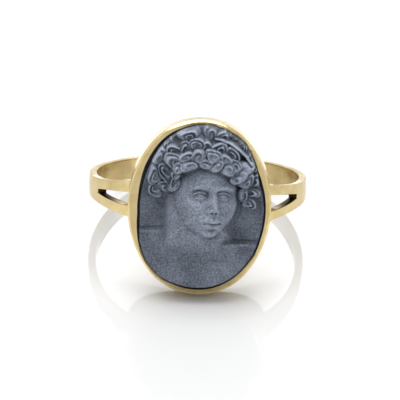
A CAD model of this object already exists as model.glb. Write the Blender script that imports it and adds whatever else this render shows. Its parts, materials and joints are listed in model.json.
"""Cameo ring at rest: the soldered gold mount and the carved lava stone, with floor, light and camera."""
import json
import math

import bmesh
import bpy
import numpy as np
from mathutils import Matrix, Vector


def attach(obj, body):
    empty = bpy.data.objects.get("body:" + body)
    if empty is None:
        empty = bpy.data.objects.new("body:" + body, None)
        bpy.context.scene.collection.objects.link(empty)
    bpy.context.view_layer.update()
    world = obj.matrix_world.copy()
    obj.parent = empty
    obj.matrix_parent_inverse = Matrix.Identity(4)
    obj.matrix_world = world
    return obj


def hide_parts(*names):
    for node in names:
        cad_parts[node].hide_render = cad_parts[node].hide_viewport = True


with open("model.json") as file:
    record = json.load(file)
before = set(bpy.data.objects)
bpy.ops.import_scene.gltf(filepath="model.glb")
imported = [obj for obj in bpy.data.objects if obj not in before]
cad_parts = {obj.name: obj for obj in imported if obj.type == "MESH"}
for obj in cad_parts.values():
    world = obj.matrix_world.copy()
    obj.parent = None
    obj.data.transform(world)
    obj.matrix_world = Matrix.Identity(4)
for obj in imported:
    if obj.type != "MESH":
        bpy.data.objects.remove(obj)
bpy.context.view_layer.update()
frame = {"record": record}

MM = 0.001
# Points nearer than this become one, in metres
MERGE = 1e-7

# The source's own sizes, in millimetres
FINGER_R = 8.65
BAND_WALL = 0.69
BAND_R = FINGER_R + BAND_WALL
HALF_BAND = 1.85 / 2
CROWN_R = 8.0
FLARE_START = 1.0
SPLIT_START = 3.95
SPLIT_END = 0.32
# Width over both arms, gap between them, drop of their middle: left, then right
SHOULDERS = {-1: (3.16, 1.18, 0.0), 1: (3.26, 1.56, 0.14)}
HALF_W, HALF_H = 11.9 / 2, 14.76 / 2
RIM_REACH = FINGER_R + 1.65
COLLET_WALL = 0.34
RIM_SIDE, RIM_END = 0.6, 0.40
OPENING_AT = np.array([0.05, 0.08, 0])
LIP_UNDER = RIM_REACH - 0.36
RIM_BEVEL = 0.15
RIM_FALL = 0.045
SEAT = FINGER_R + 0.46
COLLET_SHIFT = 0.18
COLLET_TURN = math.radians(-0.6)
STONE_GAP = 0.06
GROOVE = 0.13
GROUND = RIM_REACH - 0.18
ARM_MEET = math.sqrt(BAND_R ** 2 - HALF_W ** 2)

# What the source leaves out, in millimetres: how far the arms run into the collet, the step inside
# them, the softened edges, and how far the rim's inner edge wanders
ARM_LAP = 0.45
ARM_STEP, STEP_START, STEP_RUN = 0.1, 6.45, 0.2
BAND_EDGE, COLLET_EDGE = 0.1, 0.045
RIM_WANDER = 0.016
# How unevenly the rim's bevel and its fall inwards are worked, and how much more it falls at its
# foot than in its middle, in shares
BEVEL_WAVE, FALL_WAVE, FALL_TILT = 0.22, 0.25, 0.75
# Round the stone's opening, in degrees from its right: how much wider the rim is than its
# plain width there, and the width of the dark groove inside it
RIM_EDGE = [
    (0, -0.10, 0.15), (12, -0.06, 0.22), (22, 0.00, 0.27), (34, 0.08, 0.06), (45, -0.02, 0.04),
    (55, -0.12, 0.04), (70, 0.00, 0.04), (88, 0.00, 0.04), (104, 0.06, 0.10), (122, 0.00, 0.28),
    (144, 0.00, 0.36), (158, 0.10, 0.28), (172, 0.15, 0.21), (188, 0.13, 0.22), (200, -0.06, 0.26),
    (212, -0.25, 0.08), (226, -0.33, 0.05), (240, -0.22, 0.07), (254, -0.09, 0.20), (270, -0.03, 0.27),
    (285, -0.02, 0.24), (298, -0.04, 0.16), (310, -0.10, 0.12), (320, -0.19, 0.13), (338, -0.15, 0.17)]
# How dull the hoop is inside, how much of a split's dullness wears off towards its wide end,
# and where that starts and how far it takes, in millimetres
HOOP_DULL, SPLIT_WORN = 0.15, 0.5
WORN_START, WORN_RUN = 1.1, 1.8
# A face's middle this near to an edge may still be the edge's own, in millimetres
NEAR = 0.05

# Columns of the band along its level part, its flare, its split and its back, and the rows
# across a strip, in shares of the strip's width
LEVEL_COLUMNS, FLARE_COLUMNS, SPLIT_COLUMNS, BACK_COLUMNS = 7, 26, 34, 121
STRIP_ROWS = (0, 0.07, 0.24, 0.5, 0.76, 0.93, 1)
# Points round the collet, and the seeds of its three handmade edges
ROUND = 360
INNER_SEED, BEVEL_SEED, FALL_SEED = 5, 9, 11

# The resting pose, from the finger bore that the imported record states
bore = next(m for m in frame["record"]["mounts"] if m["name"] == "finger")
REST_AT = Vector(bore["pos_m"])
LEAN_BACK = math.atan2(bore["axis"][1], bore["axis"][2])


def ease(t):
    """A smooth step from 0 to 1"""
    t = np.clip(t, 0, 1)
    return t * t * (3 - 2 * t)


def to_world(points):
    """Places on the finger's axis, in millimetres, to the resting ring, in metres"""
    p = np.asarray(points, float) * MM
    c, s = math.cos(LEAN_BACK), math.sin(LEAN_BACK)
    return np.stack([p[:, 0] + REST_AT.x, p[:, 1] * c + p[:, 2] * s + REST_AT.y,
                     p[:, 2] * c - p[:, 1] * s + REST_AT.z], axis=1)


def from_collet(points):
    """Places over the collet's face, in millimetres: right, up, forward, to the finger's axis"""
    p = np.asarray(points, float)
    c, s = math.cos(COLLET_TURN), math.sin(COLLET_TURN)
    across = p[:, 0] * c - p[:, 1] * s + COLLET_SHIFT
    return np.stack([across, -p[:, 2], p[:, 0] * s + p[:, 1] * c], axis=1)


def mesh_object(name, points, faces):
    """A new object, its points in metres"""
    mesh = bpy.data.meshes.new(name)
    mesh.from_pydata([tuple(p) for p in points], [], [tuple(int(i) for i in f) for f in faces])
    mesh.validate()
    obj = bpy.data.objects.new(name, mesh)
    bpy.context.collection.objects.link(obj)
    return obj


def cleaned(obj):
    """Merges doubles, turns the faces outward and shades them smooth"""
    work = bmesh.new()
    work.from_mesh(obj.data)
    bmesh.ops.remove_doubles(work, verts=work.verts, dist=MERGE)
    bmesh.ops.dissolve_degenerate(work, dist=MERGE, edges=work.edges)
    bmesh.ops.recalc_face_normals(work, faces=work.faces)
    for f in work.faces:
        f.smooth = True
    work.to_mesh(obj.data)
    work.free()
    obj.data.update()
    return obj


def applied(obj):
    """Takes the object's modifiers into its mesh"""
    bpy.context.view_layer.update()
    whole = obj.evaluated_get(bpy.context.evaluated_depsgraph_get())
    mesh = bpy.data.meshes.new_from_object(whole)
    obj.modifiers.clear()
    old, obj.data = obj.data, mesh
    bpy.data.meshes.remove(old)
    mesh.name = obj.name
    return obj


def softened_edges(obj, width, angle=32, segments=3):
    """Rounds the edges where faces meet at more than an angle, to a width in millimetres"""
    bevel = obj.modifiers.new("edges", "BEVEL")
    bevel.width = width * MM
    bevel.segments = segments
    bevel.limit_method = "ANGLE"
    bevel.angle_limit = math.radians(angle)
    bevel.use_clamp_overlap = True
    return applied(obj)


# Ring band and shoulders

def flare(forward, rise):
    """How far a shoulder's edge has left the band's edge, so far forward"""
    run = ARM_MEET - FLARE_START
    r = (run ** 2 + rise ** 2) / (2 * rise)
    d = max(forward - FLARE_START, 0)
    return r - math.sqrt(max(r * r - d * d, 0))


def shoulder_heights(side, forward):
    """Lower edge, gap's lower edge, gap's upper edge and upper edge of one shoulder"""
    width, gap, drop = SHOULDERS[side]
    rise = (gap - SPLIT_END) / 2 / (ARM_MEET - SPLIT_START)
    slope = drop / (ARM_MEET - SPLIT_START)
    d = max(forward - SPLIT_START, 0)
    return (-HALF_BAND - flare(forward, width / 2 + drop - HALF_BAND), -SPLIT_END / 2 - d * (rise + slope),
            SPLIT_END / 2 + d * (rise - slope), HALF_BAND + flare(forward, width / 2 - drop - HALF_BAND))


def crown(z):
    """Outer radius of the band at a height across it"""
    return BAND_R - CROWN_R + math.sqrt(CROWN_R ** 2 - z * z)


def band_columns():
    """Columns of the band from the left arms' ends round the back to the right ones

    Each has its side and either how far forward it is or its angle from the back
    """
    stretches = ((0, FLARE_START, LEVEL_COLUMNS), (FLARE_START, SPLIT_START, FLARE_COLUMNS),
                 (SPLIT_START, ARM_MEET + ARM_LAP, SPLIT_COLUMNS))
    fronts = sorted({round(x, 4) for stretch in stretches for x in np.linspace(*stretch)}, reverse=True)
    angles = np.linspace(-90, 90, BACK_COLUMNS)[1:-1]
    left = [(-1, f, None) for f in fronts]
    back = [(-1 if a < 0 else 1, None, math.radians(a)) for a in angles]
    right = [(1, f, None) for f in reversed(fronts)]
    return left + back + right


def band_points(columns):
    """Points of the band, and each one's number by its column, row and skin"""
    points, index = [], {}
    for c, (side, forward, angle) in enumerate(columns):
        low, gap_low, gap_high, high = shoulder_heights(side, forward or 0)
        heights = [a + (b - a) * t for a, b in ((low, gap_low), (gap_high, high)) for t in STRIP_ROWS]
        sunk = ARM_STEP * min(max((forward or 0) - STEP_START, 0) / STEP_RUN, 1)
        for k, z in enumerate(heights):
            for skin, r in enumerate((FINGER_R + sunk, crown(z))):
                if angle is None:
                    x, y = side * math.sqrt(r * r - forward * forward), -forward
                else:
                    x, y = r * math.sin(angle), r * math.cos(angle)
                index[c, k, skin] = len(points)
                points.append((x, y, z))
    return points, index


def band_mesh():
    """The band as two strips that join round the back, each with an inner and an outer skin"""
    columns = band_columns()
    points, index = band_points(columns)
    rows = len(STRIP_ROWS)
    top = 2 * rows - 1
    faces = []

    def quad(*corners):
        faces.append([index[q] for q in corners])

    split_at = [c for c, (_, f, _) in enumerate(columns) if f is not None and abs(f - SPLIT_START) < 1e-6]
    first, last = split_at
    for c in range(len(columns) - 1):
        joined = first <= c < last
        for k in range(top):
            if k == rows - 1 and not joined:
                continue
            quad((c, k, 1), (c + 1, k, 1), (c + 1, k + 1, 1), (c, k + 1, 1))
            quad((c, k, 0), (c, k + 1, 0), (c + 1, k + 1, 0), (c + 1, k, 0))
        for k in (0, top) if joined else (0, rows - 1, rows, top):
            quad((c, k, 0), (c + 1, k, 0), (c + 1, k, 1), (c, k, 1))
    for c in split_at:
        quad((c, rows - 1, 0), (c, rows, 0), (c, rows, 1), (c, rows - 1, 1))
    for c in (0, len(columns) - 1):
        for k in (*range(rows - 1), *range(rows, top)):
            quad((c, k, 0), (c, k + 1, 0), (c, k + 1, 1), (c, k, 1))
    return to_world(points), faces


# Collet

def wave(angle, seed):
    """A handmade edge's wander round the oval, about within minus one to one"""
    rng = np.random.default_rng(seed)
    out = np.zeros_like(angle)
    for n in (2, 3, 5, 7, 9, 12, 15):
        strength = math.cos(rng.uniform(0, 2 * math.pi))
        out += strength * np.cos(n * angle + rng.uniform(0, 2 * math.pi)) / n ** 0.4
    return out / 1.6


def oval_reach(w, h, c, s):
    """Distance from the middle to an oval's outline of four arcs, in a direction's cosine and sine"""
    step = (h - w) / 2
    c, s = np.abs(c), np.abs(s)
    side = -4 * step * c + np.sqrt((4 * step * c) ** 2 - (4 * step) ** 2 + (h + 2 * step) ** 2)
    under_root = (3 * step * s) ** 2 - (3 * step) ** 2 + (h - 3 * step) ** 2
    end = 3 * step * s + np.sqrt(np.maximum(under_root, 0))
    return np.where((side * s - 3 * step) * 4 > 3 * side * c, end, side)


def rim_edge(c, s):
    """How much wider the rim is, and how wide the groove, in a direction's cosine and sine"""
    angle, wider, groove = np.transpose(RIM_EDGE)
    at = np.degrees(np.arctan2(s, c))
    return np.interp(at, angle, wider, period=360), np.interp(at, angle, groove, period=360)


def opening_reach(c, s):
    """The rim's inner edge, from the opening's middle"""
    wander = RIM_WANDER * wave(np.arctan2(s, c), INNER_SEED)
    return oval_reach(HALF_W - RIM_SIDE, HALF_H - RIM_END, c, s) - rim_edge(c, s)[0] + wander


def collet_rings(a):
    """The collet ring by ring, from the middle of its back over the rim into the stone's room"""
    c, s = np.cos(a), np.sin(a)

    def ring(reach, height, middle=(0, 0)):
        """Points so far out from a middle, at a height"""
        way = np.stack([c, s], axis=1) * np.reshape(reach, (-1, 1))
        return np.column_stack([way + middle, np.broadcast_to(height, ROUND)])

    def saddle(r):
        """Height of the finger bore under the collet, so far out"""
        x = r * c * math.cos(COLLET_TURN) - r * s * math.sin(COLLET_TURN) + COLLET_SHIFT
        return np.sqrt(FINGER_R ** 2 - x * x)

    hole = OPENING_AT[:2]
    outer = oval_reach(HALF_W, HALF_H, c, s)
    room = oval_reach(HALF_W - COLLET_WALL, HALF_H - COLLET_WALL, c, s)
    inner = opening_reach(c, s)
    bevel = RIM_BEVEL * (1 + BEVEL_WAVE * wave(a, BEVEL_SEED))
    foot = saddle(outer)
    back = [ring(outer * t, saddle(outer * t)) for t in np.linspace(0, 1, 15)[1:]]
    wall = [ring(outer, foot + (RIM_REACH - bevel - foot) * t) for t in (0.06, 0.25, 0.5, 0.75, 0.94, 1)]
    turned_over = [ring(outer - bevel / 2, RIM_REACH - bevel / 2), ring(outer - bevel, RIM_REACH - 0.004)]
    fall = RIM_FALL * (1 - FALL_TILT * s + FALL_WAVE * wave(a, FALL_SEED))
    across = ring(inner, RIM_REACH - fall, hole) - turned_over[-1]
    rim = [turned_over[-1] + across * t for t in (0.12, 0.5, 0.88, 1)]
    lip = [ring(inner, z, hole) for z in (RIM_REACH - 0.2, LIP_UNDER)]
    lip.append(ring(np.maximum(room, inner + 0.01), LIP_UNDER, hole))
    seat = [ring(room, (LIP_UNDER + SEAT) / 2, hole)]
    seat += [ring(room * t, SEAT, hole) for t in (1, 0.75, 0.5, 0.25)]
    return back + wall + turned_over + rim + lip + seat


def collet_mesh():
    """The collet as a closed shell round the stone's room"""
    rings = collet_rings(np.arange(ROUND) * 2 * math.pi / ROUND)
    back = [[0, 0, math.sqrt(FINGER_R ** 2 - COLLET_SHIFT ** 2)]]
    points = np.concatenate([back, *rings, [[*OPENING_AT[:2], SEAT]]])
    here = np.arange(ROUND)
    following = (here + 1) % ROUND
    faces = [(0, 1 + j, 1 + i) for i, j in zip(here, following)]
    for k in range(len(rings) - 1):
        low, high = 1 + k * ROUND, 1 + (k + 1) * ROUND
        faces += [(low + i, low + j, high + j, high + i) for i, j in zip(here, following)]
    last = len(points) - 1
    faces += [(last, last - ROUND + i, last - ROUND + j) for i, j in zip(here, following)]
    return to_world(from_collet(points)), faces


def joined_mount(band, collet):
    """Solders the two into one closed mesh"""
    union = band.modifiers.new("solder", "BOOLEAN")
    union.operation = "UNION"
    union.solver = "EXACT"
    union.object = collet
    applied(band)
    bpy.data.objects.remove(collet)
    return band


def make_mount():
    """The band and the collet, each with its edges softened, soldered and tarnished"""
    band = cleaned(mesh_object("ring_mount_gold", *band_mesh()))
    band = cleaned(softened_edges(band, BAND_EDGE))
    collet = cleaned(mesh_object("collet", *collet_mesh()))
    collet = cleaned(softened_edges(collet, COLLET_EDGE, angle=28, segments=2))
    mount = cleaned(joined_mount(band, collet))
    tarnish(mount)
    return mount


def face_places(obj):
    """Middles of an object's faces, on the finger's axis in millimetres, and the ways they face"""
    polygons = obj.data.polygons
    centres, normals = np.empty(len(polygons) * 3), np.empty(len(polygons) * 3)
    polygons.foreach_get("center", centres)
    polygons.foreach_get("normal", normals)
    c, s = math.cos(LEAN_BACK), math.sin(LEAN_BACK)
    turned = np.array([[1, 0, 0], [0, c, s], [0, -s, c]])
    return (centres.reshape(-1, 3) - np.array(REST_AT)) / MM @ turned, normals.reshape(-1, 3) @ turned


def tarnish(mount):
    """Marks the faces that no finger polishes

    The hoop is a little dull inside and the splits much more, most of all at their narrow ends
    """
    p, n = face_places(mount)
    forward = -p[:, 1]
    radius = np.hypot(p[:, 0], p[:, 1])
    inward = -(p[:, 0] * n[:, 0] + p[:, 1] * n[:, 1]) / np.maximum(radius, 1)
    dull = HOOP_DULL * ease((inward - 0.2) / 0.5) * (radius < FINGER_R + 0.2)
    for side in SHOULDERS:
        mine = (p[:, 0] * side > 0) & (forward > SPLIT_START - 0.06) & (np.abs(p[:, 0]) > HALF_W - 0.1)
        for k in np.flatnonzero(mine):
            _, low, high, _ = shoulder_heights(side, forward[k])
            most_outward = -0.6 if forward[k] < SPLIT_START + NEAR else -0.3
            faces_gap = abs(n[k, 2]) > 0.5 or inward[k] > most_outward
            if low - NEAR < p[k, 2] < high + NEAR and faces_gap:
                dull[k] = 1 - SPLIT_WORN * ease((forward[k] - SPLIT_START - WORN_START) / WORN_RUN)
    mount.data.attributes.new("dull", "FLOAT", "FACE").data.foreach_set("value", dull)


# Carving: shares of the head height, on the head's own axes, as the source has them
HEAD = 0.555 * (2 * HALF_H)
CARVING_TURN = math.radians(2)
PLACE = np.array([0.055, 0.165, 0.03]) * HEAD - OPENING_AT
TURN, TILT, NOD = math.radians(17), math.radians(5), math.radians(3)
# How deep the relief is against a full head
DEPTH = 0.86
# Middle and half sizes of the head's egg and of the cap of hair
EGG = ((0, 0, -0.02), (0.345, 0.487, 0.345))
HAIR_CAP = ((0, 0.22, -0.20), (0.54, 0.47, 0.34))
# How much the face narrows to the jaw, where that starts, and how full the chin's curve is
TAPER, JAW_START, JAW_FULLNESS = 0.20, 0.1, 1.42
# The neck's middle across and half width, its lift, and where it starts and fades going down
NECK_MIDDLE, NECK_HALF, NECK_LIFT = -0.07, 0.354, 0.213
NECK_TOP, NECK_START, NECK_FOOT, NECK_FADE = -0.152, 0.183, 0.945, 0.56
# The lines over the left and the right shoulder: a place across, how far down the line is there,
# and its slope; then the shoulders' lift, and how much more there is further down
SHOULDER_LINES = ((-0.54, 0.375, -0.04), (0.31, 0.514, 0.03))
SHOULDER_LIFT, SHOULDER_MORE = 0.045, 0.036
# The breast: its middle across and down, half width, half height and lift
CHEST = (-0.055, 0.8, 0.8, 0.48, 0.115)
# The dark cut along the shoulders: its depth, how far outside the line it is, and its half width
CUT_DEPTH, CUT_OUT, CUT_HALF = 0.014, 0.013, 0.011
# Fillets where locks meet, hair meets face, breast and neck meet the shoulders, and the relief
# meets its limit near the stone's edge
LOCK_BLEND, HAIRLINE_BLEND, BREAST_BLEND, NECK_BLEND, EDGE_BLEND = 0.022, 0.012, 0.037, 0.06, 0.03

# Place across, up and forward of the eye line, half width, half height, lean, lift
MIDDLE_FEATURES = [
    (0, 0.078, 0.31, 0.050, 0.040, 0, 0.006),         # between the brows
    (0, 0.200, 0.30, 0.160, 0.100, 0, 0.010),         # forehead
    (0, 0.018, 0.30, 0.036, 0.055, 0, 0.026),         # root of the nose
    (0, -0.060, 0.31, 0.034, 0.065, 0, 0.052),        # bridge of the nose
    (0, -0.132, 0.33, 0.034, 0.036, 0, 0.066),        # tip of the nose
    (0, -0.275, 0.29, 0.110, 0.080, 0, 0.052),        # round of the mouth
    (0, -0.222, 0.33, 0.012, 0.022, 0, -0.012),       # hollow under the nose
    (0, -0.313, 0.32, 0.046, 0.020, 0, 0.034),        # lower lip
    (0, -0.288, 0.33, 0.062, 0.0085, 0, -0.030),      # line between the lips
    (0, -0.358, 0.30, 0.055, 0.018, 0, -0.020),       # hollow under the lips
    (0, -0.420, 0.28, 0.085, 0.060, 0, 0.062),        # chin
    (0, -0.252, 0.335, 0.010, 0.008, 0, -0.008)]      # notch of the upper lip
# The same for one side of the face; the other side mirrors it
PAIRED_FEATURES = [
    (0.120, 0.002, 0.26, 0.086, 0.054, 6, -0.068),    # eye socket
    (0.052, 0.004, 0.28, 0.026, 0.036, 0, -0.020),    # inner corner of the eye
    (0.082, 0.074, 0.28, 0.052, 0.024, -8, 0.016),    # inner brow
    (0.165, 0.078, 0.25, 0.062, 0.024, 16, 0.020),    # outer brow
    (0.043, -0.150, 0.32, 0.021, 0.022, 0, 0.036),    # wing of the nose
    (0.028, -0.262, 0.33, 0.034, 0.014, -12, 0.025),  # upper lip
    (0.074, -0.287, 0.29, 0.018, 0.016, 0, -0.016),   # corner of the mouth
    (0.170, -0.085, 0.22, 0.080, 0.070, 0, 0.020),    # cheekbone
    (0.095, -0.195, 0.28, 0.025, 0.060, 25, -0.008),  # fold beside the mouth
    (0.120, -0.004, 0.24, 0.054, 0.034, 4, 0.060),    # eyeball
    (0.022, -0.176, 0.33, 0.011, 0.008, 20, -0.030),  # nostril
    (0.052, -0.135, 0.32, 0.010, 0.020, 20, -0.010)]  # crease over the wing
# An eye's opening, as a feature with no lift, and how far its lids are open up and down from it
EYE = (0.120, -0.004, 0.25, 0.066, 0.066, 4, 0)
OPEN_UP, OPEN_DOWN = 0.40, -0.33
# Thickness of the upper and the lower lid, and depth of the crease over the upper one
UPPER_LID, LOWER_LID, LID_CREASE = 0.024, 0.014, 0.012
# Locks of hair: place across and up from the eye line, crest over the ground, half width, half height,
# lean, waves of its strands, how many strands and which way they wind: 0 for arcs
LOCKS = [
    (-0.486, 0.035, 0.11, 0.071, 0.072, 0, 1.5, 1), (-0.512, 0.189, 0.165, 0.081, 0.113, 5, 1.7, 2),
    (-0.451, 0.367, 0.175, 0.111, 0.093, -25, 2.1, 0), (-0.37, 0.52, 0.14, 0.081, 0.067, -40, 1.5, 1),
    (-0.279, 0.596, 0.11, 0.071, 0.057, -30, 1.3, 2), (-0.148, 0.602, 0.195, 0.126, 0.088, -5, 2.1, 0),
    (-0.026, 0.659, 0.08, 0.076, 0.046, -10, 1.2, -1), (0.06, 0.615, 0.155, 0.086, 0.088, 15, 1.6, -2),
    (0.186, 0.577, 0.145, 0.076, 0.077, 30, 1.5, -1), (0.242, 0.635, 0.07, 0.061, 0.041, 35, 1.1, -1),
    (0.312, 0.558, 0.1, 0.071, 0.062, 40, 1.3, -2), (0.383, 0.473, 0.11, 0.066, 0.072, 50, 1.5, -1),
    (0.449, 0.358, 0.105, 0.056, 0.077, 60, 1.3, -2), (0.484, 0.24, 0.105, 0.056, 0.082, 80, 1.3, -1),
    (0.499, 0.116, 0.105, 0.056, 0.082, 90, 1.3, -2), (0.479, -0.007, 0.11, 0.056, 0.077, 95, 1.4, -1),
    (0.424, -0.105, 0.11, 0.066, 0.067, 100, 1.4, -1), (-0.395, 0.241, 0.22, 0.076, 0.093, 0, 1.7, 1),
    (-0.405, 0.097, 0.165, 0.066, 0.072, 0, 1.3, 2), (-0.314, 0.458, 0.22, 0.081, 0.077, -20, 1.6, 1),
    (-0.203, 0.499, 0.25, 0.071, 0.062, 0, 1.4, 2), (-0.077, 0.505, 0.28, 0.091, 0.077, -10, 1.9, 1),
    (0.034, 0.51, 0.25, 0.071, 0.067, 0, 1.5, -1), (0.161, 0.482, 0.265, 0.091, 0.072, 20, 1.8, 0),
    (0.272, 0.422, 0.25, 0.081, 0.072, 30, 1.6, -1), (0.388, 0.278, 0.225, 0.091, 0.093, 40, 0, 0),
    (0.419, 0.12, 0.18, 0.076, 0.072, 70, 1.5, -1), (0.388, -0.009, 0.15, 0.066, 0.077, 70, 1.3, -2),
    (-0.299, 0.366, 0.28, 0.081, 0.072, 0, 1.6, 2), (-0.193, 0.401, 0.325, 0.081, 0.072, 5, 1.6, -1),
    (-0.077, 0.4, 0.35, 0.076, 0.067, -5, 1.5, 2), (0.08, 0.42, 0.345, 0.081, 0.072, 0, 1.6, 1),
    (-0.006, 0.351, 0.36, 0.061, 0.046, 0, 1.2, -1), (0.186, 0.372, 0.335, 0.076, 0.067, 15, 1.5, -2),
    (0.287, 0.313, 0.3, 0.071, 0.067, 30, 1.4, -1), (-0.259, 0.303, 0.325, 0.061, 0.052, 0, 1.2, 1),
    (-0.143, 0.309, 0.36, 0.071, 0.046, 0, 1.2, -1), (0.115, 0.315, 0.36, 0.066, 0.046, 0, 1.2, 2),
    (0.226, 0.269, 0.335, 0.056, 0.052, 15, 1.2, 1), (0.323, 0.189, 0.27, 0.061, 0.077, 60, 1.3, -1)]
# Locks at the temple that fill the hollow beside the face
TEMPLE_LOCKS = [
    (-0.318, 0.138, 0.235, 0.060, 0.082, 8, 1.5, -1), (-0.300, 0.232, 0.285, 0.060, 0.062, -10, 1.3, 2)]
# Locks whose crest is under this are the outer rows
OUTER_CREST = 0.2
# How round the locks stand against full balls, and how much further the outer rows stand up
# than the source has it
FULLNESS, OUTER_FULLNESS, OUTER_LIFT = 0.65, 0.9, 0.02
# How steeply a lock falls past its outline, near it and further out
SKIRT_NEAR, SKIRT_FAR = 1.4, 0.8
# Depth of the dimple in a lock's middle, and height of its strands
DIMPLE, STRAND = 0.016, 0.021
# Height of the hair's middle over the eye line, from which the locks' outer sides face away
HAIR_MIDDLE = 0.12
# A raised fillet across the hair: place across, up and over the ground
FILLET = ((0.105, 0.570, 0.180), (0.180, 0.560, 0.205), (0.262, 0.522, 0.215), (0.345, 0.455, 0.205),
          (0.415, 0.380, 0.190), (0.470, 0.300, 0.160))
# How far each side of the fillet the locks are flattened, over what run and by what share; its
# ridge's height and half width; and the depth, distance and half width of the grooves along it
FILLET_BED, FILLET_BED_RUN, FLATTENED = 0.028, 0.02, 0.8
FILLET_RIDGE, FILLET_HALF = 0.030, 0.0065
FILLET_GROOVE, GROOVE_OUT, GROOVE_HALF = 0.018, 0.018, 0.007

# Rings of the stone's mesh, the last three of which make the groove round the relief, and the
# groove's depth under the flange, in millimetres
RINGS = 150
GROOVE_DEPTH = 0.22
# How far the groove's wall leans out, and how its floor ends: at this share of the groove's
# width, and at least so far inside the girdle, in millimetres
WALL_RUN, FLOOR_SHARE, GIRDLE_ROOM = 0.02, 0.8, 0.01
# So far from the stone's edge, in millimetres, the edge doesn't hold the relief down
FAR_INSIDE = 1e3
# How light the stone looks at heights over the ground in millimetres, from dust and handling
HEIGHT_TONES = [(0, -0.50), (0.35, -0.50), (0.55, -0.56), (0.75, -0.48), (0.95, -0.22), (1.2, 0.02),
                (1.8, 0.04), (2.3, 0.3), (2.8, 0.5)]
# What stands out of its surroundings is lighter: how many points of the mesh those reach, and
# the height in millimetres for one whole tone, for fine forms and for broad ones
FINE_RELIEF, BROAD_RELIEF = (5, 0.2), (14, 0.6)
# The darkest tone, and how much darker the stone is at its edge and over what width, in millimetres
DARKEST, EDGE_SHADE, EDGE_RUN = -0.62, 0.4, 0.16


def head_turns():
    """The head's turn to one side, its tilt and its nod, in one matrix"""
    lean = np.array([[math.cos(TILT), math.sin(TILT), 0], [-math.sin(TILT), math.cos(TILT), 0], [0, 0, 1]])
    turn = np.array([[math.cos(TURN), 0, math.sin(TURN)], [0, 1, 0], [-math.sin(TURN), 0, math.cos(TURN)]])
    nod = np.array([[1, 0, 0], [0, math.cos(NOD), math.sin(NOD)], [0, -math.sin(NOD), math.cos(NOD)]])
    return lean @ turn @ nod


TURNS = head_turns()
FLAT = np.diag([1, 1, DEPTH])


def on_head(p):
    """A place on the head's own axes, to the carving's, in millimetres"""
    return FLAT @ TURNS @ np.array(p) * HEAD + PLACE


def blend(a, b, size):
    """The higher of two heights, with a fillet of such a size between them"""
    h = np.maximum(size - np.abs(a - b), 0) / size
    return np.maximum(a, b) + h * h * size / 4


def form(centre, half, x, y):
    """Front of a round form on the head, seen from the front"""
    c = on_head(centre)
    r = np.array(half) * HEAD
    o = [((x - c[0]) * TURNS[0, i] + (y - c[1]) * TURNS[1, i]) / r[i] for i in range(3)]
    d = [TURNS[2, i] / DEPTH / r[i] for i in range(3)]
    ab = sum(p * q for p, q in zip(o, d))
    bb, aa = sum(q * q for q in d), sum(p * p for p in o)
    k = ab * ab - bb * (aa - 1)
    return c[2] + (-ab + np.where(k > 0, 1, -2) * np.sqrt(np.abs(k))) / bb


def spot(row, x, y):
    """Distances across and up from a place on the head, in shares of the spot's half sizes"""
    c = on_head(row[:3])
    a = math.radians(row[5]) + TILT
    dx, dy = x - c[0], y - c[1]
    u = (dx * math.cos(a) - dy * math.sin(a)) / HEAD / row[3]
    return u, (dx * math.sin(a) + dy * math.cos(a)) / HEAD / row[4]


def mirrored(row):
    """The same feature on the head's other side"""
    return (-row[0], *row[1:5], -row[5], row[6])


FEATURES = MIDDLE_FEATURES + PAIRED_FEATURES + [mirrored(f) for f in PAIRED_FEATURES]


def lifts(x, y):
    """How far the features stand out of the plain head"""
    out = np.zeros(x.shape)
    for row in FEATURES:
        u, v = spot(row, x, y)
        out += row[6] * HEAD * np.exp(-(u * u + v * v))
    return out


def eyelids(x, y):
    """The lids' thickness over the eyes, and the crease above them"""
    out = np.zeros(x.shape)
    for row in (mirrored(EYE), EYE):
        u, v = spot(row, x, y)
        inside = np.clip(1 - u * u, 0, 1)
        upper, lower = OPEN_UP * inside ** 0.7, OPEN_DOWN * inside ** 0.8
        soft = ease((1.35 - np.abs(u)) / 0.5)
        over = ease((v - upper + 0.03) / 0.09) * np.exp(-(np.maximum(v - upper - 0.09, 0) / 0.26) ** 2)
        under = ease((lower - v + 0.02) / 0.09) * np.exp(-(np.maximum(lower - v - 0.06, 0) / 0.16) ** 2)
        crease = np.exp(-((v - upper - 0.40) / 0.09) ** 2)
        out += soft * HEAD * (UPPER_LID * over + LOWER_LID * under - LID_CREASE * crease)
    return out


def face(x, y):
    """The head's front: an egg that narrows to the jaw, with its features"""
    down = (PLACE[1] - y) / (EGG[1][1] * HEAD)
    axis = PLACE[0] - math.tan(TILT) * (PLACE[1] - y)
    narrow = 1 - TAPER * ease(down - JAW_START)
    fuller = np.where(down > 0, PLACE[1] - EGG[1][1] * HEAD * np.abs(down) ** JAW_FULLNESS, y)
    shift = x - math.tan(TURN) * lifts(x, y)
    return form(*EGG, axis + (x - axis) / narrow, fuller) + lifts(shift, y) + eyelids(shift, y)


def wander(x, y):
    """A small drift of places, so that no lock's outline is a true oval"""
    a, b = x / HEAD, y / HEAD
    dx = 0.016 * np.sin(17 * b + 6 * a + 1.3) + 0.011 * np.sin(31 * a - 13 * b + 0.4)
    dy = 0.016 * np.sin(19 * a - 5 * b + 2.2) + 0.011 * np.sin(29 * b + 15 * a + 5.1)
    return x + dx * HEAD, y + dy * HEAD


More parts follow.
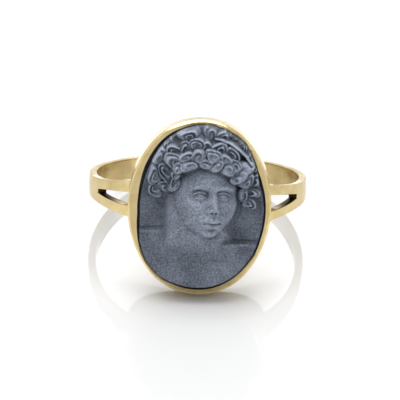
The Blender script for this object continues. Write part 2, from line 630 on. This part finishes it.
def lock(row, x, y, n):
    """One lock: a ball with ridges wound round it, higher on its outer side, and a dimple in its middle"""
    across, up, crest, half_wide, half_high, lean, turns, way = row
    dx, dy = (x - PLACE[0]) / HEAD - across, (y - PLACE[1]) / HEAD - up
    a = math.radians(lean)
    u = (dx * math.cos(a) - dy * math.sin(a)) / half_wide
    v = (dx * math.sin(a) + dy * math.cos(a)) / half_high
    far = u * u + v * v
    r = min(half_wide, half_high)
    root = np.sqrt(np.abs(1 - far))
    ball = r * (np.where(far < 1, root, -SKIRT_NEAR * root - SKIRT_FAR * root * root) - 1)
    full = FULLNESS
    if crest < OUTER_CREST:
        crest, full = crest + OUTER_LIFT, OUTER_FULLNESS
    rho, phi = np.sqrt(far), np.arctan2(v, u)
    outward = math.atan2(up - HAIR_MIDDLE, across) + a
    side = 0.56 + 0.44 * np.cos(phi - outward - 0.5 * math.sin(2.3 * n))
    phase = 2.6 * math.pi * turns * rho ** 0.9 - way * (phi + 2.4 * n)
    ridge = 2.4 * (0.5 + 0.5 * np.cos(phase)) ** 1.8 - 0.8
    strand = side * ease((1.3 - rho) / 0.3) * ease((rho - 0.1) / 0.3) * ridge
    height = STRAND if turns else 0
    return HEAD * (crest + full * ball - DIMPLE * np.exp(-np.minimum(far, 1) / 0.05) + height * strand)


def fillet(x, y):
    """How far the fillet's line is, and how high it runs there"""
    x, y = (x - PLACE[0]) / HEAD, (y - PLACE[1]) / HEAD
    far, height = np.full(x.shape, 9.0), np.zeros(x.shape)
    for (ax, ay, az), (bx, by, bz) in zip(FILLET, FILLET[1:]):
        along = (x - ax) * (bx - ax) + (y - ay) * (by - ay)
        t = np.clip(along / ((bx - ax) ** 2 + (by - ay) ** 2), 0, 1)
        here = np.hypot(x - ax - t * (bx - ax), y - ay - t * (by - ay))
        height = np.where(here < far, az + t * (bz - az), height)
        far = np.minimum(far, here)
    return far, height


def hair(x, y):
    """The cap of hair with its locks and fillet"""
    h = form(*HAIR_CAP, x, y)
    wx, wy = wander(x, y)
    for n, row in enumerate(LOCKS + TEMPLE_LOCKS):
        h = blend(h, lock(row, wx, wy, n), LOCK_BLEND * HEAD)
    far, height = fillet(x, y)
    h = h + FLATTENED * ease((FILLET_BED - far) / FILLET_BED_RUN) * (HEAD * height - h)
    ridge = FILLET_RIDGE * np.exp(-(far / FILLET_HALF) ** 2)
    groove = FILLET_GROOVE * np.exp(-((far - GROOVE_OUT) / GROOVE_HALF) ** 2)
    return h + HEAD * (ridge - groove)


def bust(x, y):
    """Shoulders, breast and neck over the ground, with the cut along their outline"""
    across, down = (x - PLACE[0]) / HEAD, (PLACE[1] - y) / HEAD
    left, right = [down - line - slope * (across - at) for at, line, slope in SHOULDER_LINES]
    under = np.where(across < NECK_MIDDLE, left, right)
    on = ease(under / 0.022)
    edge = on * (SHOULDER_LIFT + SHOULDER_MORE * ease(under / 0.37))
    far = ((across - CHEST[0]) / CHEST[2]) ** 2 + ((down - CHEST[1]) / CHEST[3]) ** 2
    breast = on * CHEST[4] * np.sqrt(np.clip(1 - far, 0, 1))
    sharp = np.where(across < NECK_MIDDLE, 2.6, 2.0)
    column = (1 - np.minimum(np.abs(across - NECK_MIDDLE) / NECK_HALF, 1) ** sharp) ** (1.6 / sharp)
    neck = NECK_LIFT * column * ease((NECK_FOOT - down) / NECK_FADE) * ease((down - NECK_TOP) / NECK_START)
    cut = CUT_DEPTH * np.exp(-((under + CUT_OUT) / CUT_HALF) ** 2) * ease(1 - neck / 0.05)
    form_over = blend(blend(edge, breast, BREAST_BLEND), neck, NECK_BLEND)
    return HEAD * (np.maximum(form_over, 0) - cut)


def carving(x, y, inset):
    """Heights over the ground, kept low where the stone's edge is near"""
    c, s = math.cos(CARVING_TURN), math.sin(CARVING_TURN)
    x, y = x * c + y * s, y * c - x * s
    top = np.maximum(bust(x, y), blend(face(x, y), hair(x, y), HAIRLINE_BLEND * HEAD))
    limit = GROOVE / 3 + HEAD * 1.7 * np.sqrt(np.maximum(inset, 0) / HEAD)
    return -blend(-top, -limit, EDGE_BLEND * HEAD)


def blurred(z, reach):
    """Heights smoothed over so many neighbours each way"""
    kernel = np.exp(-(np.arange(-2 * reach, 2 * reach + 1) / reach) ** 2)
    kernel /= kernel.sum()

    def smoothed(line):
        return np.convolve(np.pad(line, 2 * reach, "edge"), kernel, "valid")

    return np.apply_along_axis(smoothed, 1, np.apply_along_axis(smoothed, 0, z))


def relief_tone(x, y, inset):
    """How light the stone is, from -1 to 1: as it stands out, by its height, and darker at the edge"""
    free = carving(x, y, np.full(x.shape, FAR_INSIDE))
    tone = sum((free - blurred(free, reach)) / height for reach, height in (FINE_RELIEF, BROAD_RELIEF))
    tone = tone + np.interp(free, *np.transpose(HEIGHT_TONES))
    return np.clip(tone - EDGE_SHADE * (1 - ease(inset / EDGE_RUN)), DARKEST, 1)


def stone_grid():
    """A square grid laid round the oval: each point's ring, and its direction's cosine and sine"""
    span = np.arange(-RINGS, RINGS + 1)
    i, j = np.meshgrid(span, span, indexing="ij")
    ring = np.maximum(np.abs(i), np.abs(j))
    with np.errstate(divide="ignore", invalid="ignore"):
        a = np.where(np.abs(i) >= np.abs(j), np.where(i > 0, 0, 180) + 45 * j / i,
                     np.where(j > 0, 90, 270) - 45 * i / j)
    a = np.radians(np.where(ring == 0, 0, a))
    return ring, np.cos(a), np.sin(a)


def stone_surface():
    """The carved front down to the girdle: its points, and how light each is from 0 to 1"""
    ring, c, s = stone_grid()
    groove = rim_edge(c, s)[1]
    reach = opening_reach(c, s) - groove
    girdle = oval_reach(HALF_W - COLLET_WALL - STONE_GAP, HALF_H - COLLET_WALL - STONE_GAP, c, s)
    r = reach * np.minimum(ring / (RINGS - 3), 1)
    r = np.where(ring == RINGS - 2, reach + WALL_RUN, r)
    floor_end = np.minimum(reach + groove * FLOOR_SHARE + WALL_RUN, girdle - GIRDLE_ROOM)
    r = np.where(ring == RINGS - 1, floor_end, r)
    r = np.where(ring == RINGS, girdle, r)
    x, y = r * c, r * s
    flange = LIP_UNDER - STONE_GAP
    z = np.where(ring > RINGS - 3, flange - GROOVE_DEPTH, GROUND + carving(x, y, reach - r))
    z = np.where(ring == RINGS, flange, z)
    tone = np.where(ring > RINGS - 3, -1, relief_tone(x, y, reach - r))
    return np.stack([x.ravel(), y.ravel(), z.ravel()], axis=1) + OPENING_AT, tone.ravel() * 0.5 + 0.5


def stone_mesh():
    """The whole stone: points, faces, and how light each point is"""
    points, tones = stone_surface()
    side = 2 * RINGS + 1
    at = np.arange(side * side).reshape(side, side)
    corners = (at[:-1, :-1], at[1:, :-1], at[1:, 1:], at[:-1, 1:])
    faces = np.stack(corners, axis=-1).reshape(-1, 4).tolist()
    border = [*at[:-1, 0], *at[-1, :-1], *at[:0:-1, -1], *at[0, :0:-1]]
    back = points[border] * [1, 1, 0] + [0, 0, SEAT + STONE_GAP]
    under = range(len(points), len(points) + len(border))
    edge = list(zip(border, under))
    for (a, b), (c, d) in zip(edge, edge[1:] + edge[:1]):
        faces.append((a, b, d, c))
    faces.append(list(under))
    return to_world(from_collet(np.concatenate([points, back]))), faces, [*tones, *([0.5] * len(border))]


def make_stone():
    """The stone, which carries how light it is"""
    points, faces, tones = stone_mesh()
    stone = mesh_object("lava_cameo_stone", points, faces)
    stone.data.attributes.new("relief", "FLOAT", "POINT").data.foreach_set("value", tones)
    return cleaned(stone)


# Materials

# The gold where it is worn dull, where it is rubbed bright, and where it is tarnished
WORN_GOLD, BRIGHT_GOLD, TARNISH = (0.745, 0.57, 0.268), (0.88, 0.71, 0.37), (0.05, 0.028, 0.008)
# The stone's colours by tone, from the dark pores to the pale dust on what stands out
LAVA_TONES = [(0.0, (0.012, 0.013, 0.017)), (0.3, (0.075, 0.086, 0.108)),
              (0.55, (0.165, 0.187, 0.232)), (1.0, (0.36, 0.40, 0.49))]


class Nodes:
    """The node tree of a material or of the room"""

    def __init__(self, owner):
        owner.use_nodes = True
        self.owner, self.tree = owner, owner.node_tree

    def own(self, kind):
        """The node of a kind that the tree starts with"""
        return next(n for n in self.tree.nodes if n.type == kind)

    def add(self, kind, inputs=None, **settings):
        """A new node: its settings first, then its sockets"""
        node = self.tree.nodes.new(kind)
        for name, value in settings.items():
            setattr(node, name, value)
        self.fill(node, inputs or {})
        return node

    def fill(self, node, inputs):
        """Puts values and links into a node's sockets by their names or numbers"""
        for name, value in inputs.items():
            self.put(node.inputs[name], value)

    def put(self, socket, value):
        """Links a socket to a term or another socket, or sets its value"""
        if isinstance(value, Term):
            value = value.out
        if isinstance(value, bpy.types.NodeSocket):
            self.tree.links.new(value, socket)
        elif socket.type == "RGBA":
            socket.default_value = (*value, 1)
        else:
            socket.default_value = value

    def noise(self, place, scale, detail):
        """A grain of so many cells a metre"""
        inputs = {"Vector": place, "Scale": scale, "Detail": detail}
        return Term(self, self.add("ShaderNodeTexNoise", inputs).outputs["Fac"])

    def mark(self, name):
        """A value that the mesh carries"""
        return Term(self, self.add("ShaderNodeAttribute", attribute_name=name).outputs["Fac"])

    def mixed(self, factor, first, second):
        """One colour turning into another"""
        inputs = {"Factor": factor, "A": first, "B": second}
        return self.add("ShaderNodeMix", inputs, data_type="RGBA").outputs["Result"]

    def smooth_step(self, value, start, full):
        """From 0 to 1 between two values"""
        inputs = {"Value": value, "From Min": start, "From Max": full}
        node = self.add("ShaderNodeMapRange", inputs, interpolation_type="SMOOTHSTEP")
        return Term(self, node.outputs["Result"])

    def bump(self, height, strength, distance):
        """A surface's fine unevenness, its depth in metres"""
        inputs = {"Height": height, "Strength": strength, "Distance": distance}
        return self.add("ShaderNodeBump", inputs).outputs["Normal"]


class Term:
    """A node's output that takes part in sums"""

    def __init__(self, nodes, out):
        self.nodes, self.out = nodes, out

    def maths(self, operation, *others, clamp=False):
        """A new Math node that starts from this term"""
        node = self.nodes.add("ShaderNodeMath", operation=operation, use_clamp=clamp)
        for socket, value in zip(node.inputs, (self, *others)):
            self.nodes.put(socket, value)
        return Term(self.nodes, node.outputs[0])

    def __add__(self, other):
        return self.maths("ADD", other)

    def __sub__(self, other):
        return self.maths("SUBTRACT", other)

    def __rsub__(self, other):
        return self * -1 + other

    def __mul__(self, other):
        return self.maths("MULTIPLY", other)

    __radd__ = __add__
    __rmul__ = __mul__


def gold():
    """Old gold: rubbed bright in patches, and brown where no finger polishes it"""
    n = Nodes(bpy.data.materials.new("polished_gold"))
    place = n.add("ShaderNodeTexCoord").outputs["Object"]
    wear = n.noise(place, 900, 3)
    fine = n.noise(place, 5200, 2)
    rubbed = (wear - 0.5).maths("MULTIPLY_ADD", 2.6, 0.5, clamp=True)
    dull = n.mark("dull")
    n.fill(n.own("BSDF_PRINCIPLED"), {
        "Metallic": 1,
        "Roughness": rubbed * 0.12 + dull * 0.3 + 0.12,
        "Base Color": n.mixed(dull, n.mixed(rubbed, WORN_GOLD, BRIGHT_GOLD), TARNISH),
        "Normal": n.bump(wear * 0.85 + fine * 0.15, 0.3, 0.00005)})
    return n.owner


def lava():
    """Carved lava: fine grained and dull, dark in its hollows and dusty on its heights"""
    n = Nodes(bpy.data.materials.new("carved_lava"))
    place = n.add("ShaderNodeTexCoord").outputs["Object"]
    relief = n.mark("relief")
    cloud = n.noise(place, 520, 4)
    grain = n.noise(place, 6500, 3)
    speck = n.noise(place, 15000, 1)
    grains = (grain - 0.5 + (speck - 0.5) * 0.7) * (relief * 0.9 + 0.42)
    tone = relief * 0.62 + (cloud - 0.5) * 0.5 + grains + 0.26
    ramp = n.add("ShaderNodeValToRGB", {"Fac": tone})
    stops = ramp.color_ramp.elements
    for k, (at, colour) in enumerate(LAVA_TONES):
        stop = stops[k] if k < 2 else stops.new(at)
        stop.position = at
        stop.color = (*colour, 1)
    n.fill(n.own("BSDF_PRINCIPLED"), {
        "Roughness": 0.8,
        "Specular IOR Level": 0.2,
        "Base Color": ramp.outputs["Color"],
        "Normal": n.bump(grain * 0.6 + speck * 0.4, 0.5, 0.00008)})
    return n.owner


def dress(piece, node, material):
    """Gives a piece its material, and says what it rides on, replaces and is made of"""
    piece.data.materials.clear()
    piece.data.materials.append(material)
    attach(piece, "root")
    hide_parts(node)


# Stage

# The floor's glow, near the ring and in front, and its plain colour
NEAR_GLOW, FRONT_GLOW, FLOOR_WHITE = 0.08, 0.24, 0.54
# Between these places the floor's gloss fades towards the camera, in metres
GLOSS_TO, MATTE_FROM = -0.002, -0.012
# The glow fades this near to the ring, in metres, and how strongly it does
SHADE_REACH, SHADE = 0.004, 1.6
# The backdrop that the floor mirrors stands this high over the floor
WORLD_UP = math.radians(30)
# The room's own light, what the backdrop adds, and what is missing behind the camera
ROOM, BACKDROP, DARK_SIDE = 0.76, 3.2, 0.54
# Cosines of the angles from the middles of these two, between which each comes in
BACKDROP_EDGE, DARK_EDGE = (0.93, 0.985), (0.92, 0.995)
# What the lamps point at, in metres
AIM = Vector((0, 0, 0.008))


def grey(value):
    """A colour with no hue"""
    return (value, value, value)


def make_floor():
    """White acrylic that glows a little: glossy round the ring and matte in front"""
    floor = mesh_object("floor", [(-3, -3, 0), (3, -3, 0), (3, 3, 0), (-3, 3, 0)], [(0, 1, 2, 3)])
    n = Nodes(bpy.data.materials.new("white_floor"))
    place = n.add("ShaderNodeSeparateXYZ", {0: n.add("ShaderNodeTexCoord").outputs["Object"]})
    matte = n.smooth_step(place.outputs["Y"], GLOSS_TO, MATTE_FROM)
    glow = n.mixed(matte, grey(NEAR_GLOW), grey(FRONT_GLOW))
    open_sky = n.add("ShaderNodeAmbientOcclusion", {"Distance": SHADE_REACH}, samples=16)
    shade = (1 - Term(n, open_sky.outputs["AO"])) * SHADE
    n.fill(n.own("BSDF_PRINCIPLED"), {
        "Base Color": grey(FLOOR_WHITE),
        "Roughness": 1,
        "Specular IOR Level": 0,
        "Coat IOR": 1.6,
        "Coat Roughness": 0.03,
        "Coat Weight": 1 - matte * 0.65,
        "Emission Color": n.mixed(shade, glow, grey(0)),
        "Emission Strength": 1})
    floor.data.materials.append(n.owner)


def make_room():
    """A pale room: brighter behind the ring, where the floor mirrors it, and darker behind the camera"""
    world = bpy.data.worlds.new("studio")
    bpy.context.scene.world = world
    n = Nodes(world)
    way = n.add("ShaderNodeTexCoord").outputs["Generated"]

    def towards(side, start, full):
        """How much a direction points at the backdrop, or for side -1 at what is behind the camera"""
        aim = (0, side * math.cos(WORLD_UP), math.sin(WORLD_UP))
        dot = n.add("ShaderNodeVectorMath", {0: way, 1: aim}, operation="DOT_PRODUCT")
        return n.smooth_step(dot.outputs["Value"], start, full)

    strength = towards(1, *BACKDROP_EDGE) * BACKDROP - towards(-1, *DARK_EDGE) * DARK_SIDE + ROOM
    n.fill(n.own("BACKGROUND"), {"Strength": strength, "Color": (0.98, 0.99, 1)})


def light(name, place, size, power):
    """A soft box of so many watts that faces the ring"""
    lamp = bpy.data.lights.new(name, "AREA")
    lamp.shape = "RECTANGLE"
    lamp.size, lamp.size_y = size
    lamp.energy = power
    obj = bpy.data.objects.new(name, lamp)
    bpy.context.collection.objects.link(obj)
    obj.location = place
    obj.rotation_euler = (AIM - Vector(place)).to_track_quat("-Z", "Y").to_euler()


def make_lights():
    """One soft box over the ring and a weak one each side of the camera"""
    light("top_box", (-0.05, 0.1, 0.55), (0.6, 0.42), 2.5)
    light("left_box", (-0.6, -0.15, 0.3), (0.4, 0.5), 0.2)
    light("right_box", (0.5, -0.25, 0.22), (0.3, 0.4), 0.4)


# The camera looks at the ring's hoop from a little above its plane, from so many metres
CAMERA_UP = math.radians(10.9)
CAMERA_FAR = 0.3
CAMERA_ROLL = math.radians(1.65)
CAMERA_YAW = math.radians(0.2)
# The picture's width in pixels, its scale at the hoop, and the pixel that the hoop's middle is at
PIXELS = 400
PIXELS_PER_MM = 11.664
HOOP_AT = (197.6, 184.4)


def make_camera():
    """A long lens, shifted so that the hoop stands where the picture has it"""
    data = bpy.data.cameras.new("camera")
    cam = bpy.data.objects.new("camera", data)
    bpy.context.collection.objects.link(cam)
    bpy.context.scene.camera = cam
    up = LEAN_BACK + CAMERA_UP
    flat = Vector((-math.sin(CAMERA_YAW), -math.cos(CAMERA_YAW), 0)) * math.cos(up)
    towards = flat + Vector((0, 0, math.sin(up)))
    turn = towards.to_track_quat("Z", "Y").to_matrix() @ Matrix.Rotation(CAMERA_ROLL, 3, "Z")
    cam.matrix_world = Matrix.Translation(REST_AT + towards * CAMERA_FAR) @ turn.to_4x4()
    data.sensor_width = 36
    data.lens = PIXELS_PER_MM * CAMERA_FAR / MM * data.sensor_width / PIXELS
    data.shift_x = (PIXELS / 2 - HOOP_AT[0]) / PIXELS
    data.shift_y = (HOOP_AT[1] - PIXELS / 2) / PIXELS
    data.clip_start = 0.01
    data.clip_end = 20


bpy.context.scene.view_settings.view_transform = "Standard"
make_camera()
make_floor()
make_room()
make_lights()
dress(make_mount(), "ring_mount", gold())
dress(make_stone(), "lava_cameo", lava())
